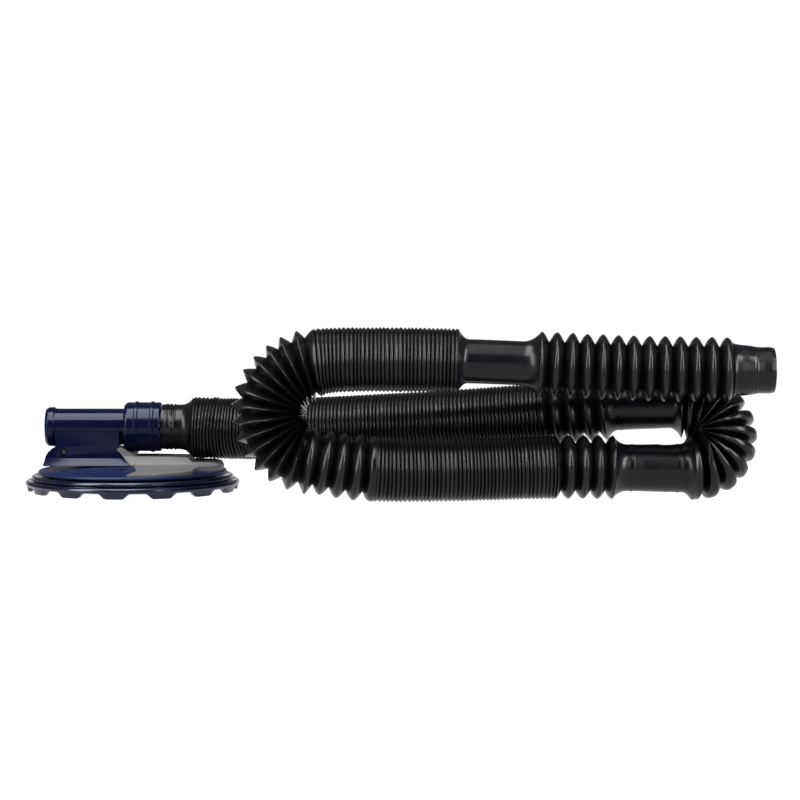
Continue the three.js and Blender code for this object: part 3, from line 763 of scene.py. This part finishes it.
def build_deck():
    """The round deck, with the throat of the inlet and the screw wells cut out of it."""
    outline = fillet([
        (0, 18.0),
        (100.6, 18.0, 0.4),
        (102.2, 18.2, 0.6),
        (103.9, 19.6, 1.6),
        (103.0, 22.4, 2.2),
        (99.8, 22.9, 1.4),
        (98.6, 22.0, 0.6),
        (97.6, 22.0, 0.6),
        (95.8, 22.6, 0.8),
        (34, 27.6, 3),
        (0, 27.6),
    ])
    deck = turned("deck_skin", outline, 168, "z")
    cut_away(deck, box("throat", -32, -15.5, -14.5, 14.5, 10, 40))
    for name in DECK_SCREWS:
        low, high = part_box(name)
        x, y = (low.x + high.x) / 2 / MM, (low.y + high.y) / 2 / MM
        top = high.z / MM
        seat = top - DECK_SEAT
        well = fillet([(0, seat), (3.8, seat, 0.3), (3.9, top + 4), (0, top + 4)])
        cut_away(deck, turned("well", well, 40, "z", (x, y, 0)))
    dress(deck, DECK, HEAD, "navy_gloss", "deck", angle=24)


def screw_head(name, place, direction, shank, node):
    """A pan head with a cross recess and a plain shank, standing for a CAD screw."""
    outline = fillet([
        (0, -shank),
        (1.3, -shank, 0.4),
        (1.5, 1 - shank),
        (1.5, 0),
        (3.4, 0, 0.2),
        (3.4, 1.0, 0.7),
        (2.2, 2.0, 0.8),
        (0, 2.1),
    ])
    screw = turned(name, outline, 48, "z")
    for turn in (0, math.pi / 2):
        slot = box("slot", -1.9, 1.9, -0.45, 0.45, 1.0, 4)
        slot.data.transform(Matrix.Rotation(turn, 4, "Z"))
        cut_away(screw, slot)
    align = Vector((0, 0, 1)).rotation_difference(Vector(direction)).to_matrix().to_4x4()
    screw.data.transform(Matrix.Translation(Vector(place)) @ align)
    # The dark screw metal is painted shade of the screw's recess
    dress(screw, SCREW_PAINTED_SHADE, HEAD, "stainless", node)


def build_screws():
    """Six screws, each as long as the CAD screw it stands for."""
    for node in DECK_SCREWS:
        low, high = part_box(node)
        spot = ((low.x + high.x) / 2, (low.y + high.y) / 2, high.z - DECK_SEAT * MM)
        screw_head(node + "_skin", spot, (0, 0, 1), (spot[2] - low.z) / MM, node)
    for node, side in (("case_screw_near", -1), ("case_screw_far", 1)):
        low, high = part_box(node)
        seat = (low.y if side < 0 else high.y) - side * CASE_SEAT * MM
        spot = ((low.x + high.x) / 2, seat, (low.z + high.z) / 2)
        shank = (high.y - seat if side < 0 else seat - low.y) / MM
        screw_head(node + "_skin", spot, (0, side, 0), shank, node)


def build_nose():
    """The grey nose cover, its top sloping down from a ridge in the middle to both sides."""
    nose = copy_of("nose_cover", "nose_cover_skin")
    for left, half, edge, ridge in ((4.0, 20.6, 36.0, 38.3), (66.9, 24.0, 30.2, 32.1)):
        crown = [(-half, edge), (0, ridge), (half, edge), (half, 60), (-half, 60)]
        cut_away(nose, prism("crown", crown, left, 110, "x"))
    bevelled(nose, 0.5, 2, 14)
    dress(nose, GREY, HEAD, "light_grey", "nose_cover", angle=22)


def build_collar():
    """The swivel collar between the tube and the hose, with its two ribs."""
    left, right = -8.2, 32.3
    outline = fillet([
        (20.6, left, 0.3),
        (24.4, left, 0.8),
        (26.6, left + 2.6, 1.2),
        (27.0, left + 4, 0.6),
        (27.0, 3.0, 0.6),
        (28.0, 3.9, 0.5),
        (28.0, 6.6, 0.5),
        (27.0, 7.4, 0.6),
        (27.0, 20.4, 0.6),
        (28.0, 21.2, 0.5),
        (28.0, 24.0, 0.5),
        (27.0, 24.8, 0.6),
        (27.0, right - 1.6, 0.8),
        (25.8, right, 0.5),
        (20.6, right, 0.3),
        (20.6, right - 2.2),
        (22.8, right - 2.2),
        (22.8, left + 2.2),
        (20.6, left + 2.2),
    ])
    collar = turned("swivel_collar_skin", outline, 128, "x", (0, 0, TUBE_Z))
    dress(collar, NAVY, "swivel", "navy_gloss", "swivel_collar")


# ------------------------------------------------------------------ rotating disc
LOBES = 14
SKIRT_TURN = -TAU / (LOBES * 6)
SKIRT_LIP = 5.6
# The feet hang from the lip: where they start, and how far in and up their sides ease out
FEET_R = 108.6
FEET_EASE = 1.6
FEET_RISE = 0.75


def lobe_drop(angle):
    """How far a foot hangs at an angle: 1 on a foot, 0 between feet, with eased shoulders."""
    phase = ((angle + math.pi / 2) / (TAU / LOBES) + 0.5) % 1 - 0.5
    t = min(1.0, max(0.0, (0.34 - abs(phase)) / 0.17))
    return t * t * (3 - 2 * t)


def build_skirt():
    """The flexible disc: stepped rings above, and feet hanging below its rim."""
    lip = SKIRT_LIP
    outline = fillet([
        (62.3, 11.0),
        (94, 11.0, 3),
        (101, 8.6, 3),
        (107, lip, 2),
        (110.2, lip, 0.8),
        (114.8, lip, 1.2),
        (116.9, lip + 0.9, 0.9),
        (118.0, 8.4, 1.6),
        (116.9, 11.4, 2.4),
        (113.4, 11.9, 1.6),
        (111.6, 10.9, 0.8),
        (109.9, 10.8, 0.8),
        (109.0, 11.8, 0.5),
        (110.6, 12.4, 1.0),
        (111.3, 14.6, 1.6),
        (110.0, 17.2, 2.2),
        (106.6, 17.5, 1.6),
        (104.2, 16.4, 1.0),
        (102.4, 15.6, 1.2),
        (99.8, 15.7, 1),
        (62.3, 15.7),
    ])
    skirt = turned("disc_skirt_skin", outline, LOBES * 24, "z")
    for vertex in skirt.data.vertices:
        x, y, z = (c / MM for c in vertex.co)
        radius = math.hypot(x, y)
        if radius > FEET_R and z < lip + FEET_RISE:
            outward = min(1.0, (radius - FEET_R) / FEET_EASE)
            downward = min(1.0, (lip + FEET_RISE - z) / FEET_RISE)
            drop = lobe_drop(math.atan2(y, x))
            vertex.co.z -= lip * drop * outward * downward * MM
    skirt.data.transform(Matrix.Rotation(SKIRT_TURN, 4, "Z"))
    dress(skirt, NAVY_SKIRT, "disc", "navy_skirt", "disc_skirt", angle=40)


def build_under_rings():
    """The rings that carry the disc, and the wearing shoe round the inlet."""
    rings = (
        ("disc_race", ACETAL, HEAD, "white_acetal", [
            (34, 6, 0.5), (50, 6, 0.5), (50, 8, 0.4), (44, 8, 0.3), (44, 17.7, 0.4), (34, 17.7, 0.4),
        ]),
        ("disc_hub", NAVY, "disc", "navy_gloss", [
            (44.6, 8.5, 0.5), (62, 8.5, 0.5), (62, 16.1, 0.2),
            (72, 16.1, 0.4), (72, 17.4, 0.4), (44.6, 17.4, 0.4),
        ]),
        ("skirt_clamp", NAVY, "disc", "navy_gloss", [
            (62.3, 8.5, 0.4), (68, 8.5, 0.3), (68.8, 8.9, 0.3),
            (74, 8.9, 0.7), (74, 10.7, 0.3), (62.3, 10.7, 0.2),
        ]),
        ("inlet_shoe", RUBBER, HEAD, "black_rubber", [
            (22, 2, 0.8), (29, 2, 0.5), (29.6, 2.7, 0.4), (31, 2.7, 0.4), (31.6, 2, 0.4),
            (38, 2, 0.8), (42, 3.6, 0.8), (42, 5.7, 0.3), (22, 5.7, 0.4),
        ]),
    )
    for node, material, body, slot, points in rings:
        ring = turned(node + "_skin", fillet(points), 120, "z")
        dress(ring, material, body, slot, node)


def build_hammer():
    """The hammer inside the body, with its edges rounded."""
    hammer = copy_of("hammer", "hammer_skin")
    bevelled(hammer, 0.6, 3, 26)
    dress(hammer, HAMMER, "hammer", "hammer_blue", "hammer")


build_shells()
build_end_cap()
build_deck()
build_nose()
build_collar()
build_skirt()
build_under_rings()
build_hammer()
build_screws()

# CAD pieces that keep their own shape
KEPT = {
    "ballast_weight": IRON,
    "hammer_pin": STEEL,
    "hammer_bush_near": ACETAL,
    "hammer_bush_far": ACETAL,
    "stop_pad_rear": RUBBER,
    "stop_pad_front": RUBBER,
    "swivel_bush_rear": ACETAL,
    "swivel_bush_front": ACETAL,
    "swivel_seal": RUBBER,
    "retaining_ring": STEEL,
}
for node, material in KEPT.items():
    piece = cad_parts[node]
    piece.data.materials.clear()
    piece.data.materials.append(material)
    shade(piece, 30)

# ------------------------------------------------------------------ floor and light
STAGE_LEFT, STAGE_RIGHT, STAGE_NEAR, STAGE_FAR, WALL_TOP = -12, 13, -6, 20, 2.7


def pale(name, base, glow):
    """A plain pale surface that is lit a little from behind, like a light table."""
    material = bpy.data.materials.new(name)
    material.use_nodes = True
    shader = material.node_tree.nodes["Principled BSDF"]
    shader.inputs["Base Color"].default_value = (base, base, base, 1)
    shader.inputs["Roughness"].default_value = 0.95
    shader.inputs["Specular IOR Level"].default_value = 0.0
    shader.inputs["Emission Color"].default_value = (1, 1, 1, 1)
    shader.inputs["Emission Strength"].default_value = glow
    return material


def build_stage():
    """A wide pale floor with a pale wall at its far edge, under a dim white sky."""
    left, right, near, far = STAGE_LEFT, STAGE_RIGHT, STAGE_NEAR, STAGE_FAR
    edges = [(left, near, 0), (right, near, 0), (right, far, 0), (left, far, 0)]
    floor = new_object("floor", edges, [(0, 1, 2, 3)])
    # Just under the lowest point, so that no foot lies in the same plane as the floor
    floor.location.z = -0.0004
    floor.data.materials.append(pale("floor_pale", 0.1, 0.985))
    edges = [(left, far, -0.1), (right, far, -0.1), (right, far, WALL_TOP), (left, far, WALL_TOP)]
    wall = new_object("wall", edges, [(0, 1, 2, 3)])
    wall.data.materials.append(pale("wall_pale", 0.3, 1.1))
    world = bpy.data.worlds.new("studio")
    world.use_nodes = True
    world.node_tree.nodes["Background"].inputs["Color"].default_value = (1, 1, 1, 1)
    world.node_tree.nodes["Background"].inputs["Strength"].default_value = 0.16
    bpy.context.scene.world = world


def area_light(name, place, target, size, size_y, radiance):
    """A soft rectangular light, as bright to look at as its radiance whatever its size."""
    data = bpy.data.lights.new(name, "AREA")
    data.shape = "RECTANGLE"
    data.size = size
    data.size_y = size_y
    data.energy = radiance * math.pi * size * size_y
    light = bpy.data.objects.new(name, data)
    bpy.context.scene.collection.objects.link(light)
    light.location = place
    aim = Vector(target) - Vector(place)
    light.rotation_mode = "QUATERNION"
    light.rotation_quaternion = aim.to_track_quat("-Z", "Y")


build_stage()
area_light("overhead_head", (-0.15, -0.62, 1.35), (-0.15, -0.62, 0.0), 0.7, 1.5, 12.5)
area_light("overhead_hose", (0.6, -0.62, 1.35), (0.6, -0.62, 0.0), 0.8, 1.5, 2.0)
area_light("side_left", (-1.15, -0.9, 0.95), (0.3, -0.12, 0.08), 0.6, 1.8, 16.0)
area_light("side_right", (1.75, -0.9, 0.95), (0.3, -0.12, 0.08), 0.6, 1.8, 20.0)
area_light("strip_right", (1.2, -1.75, 0.8), (0.4, -0.12, 0.08), 0.16, 1.2, 12.0)
bpy.context.scene.view_settings.view_transform = "Standard"
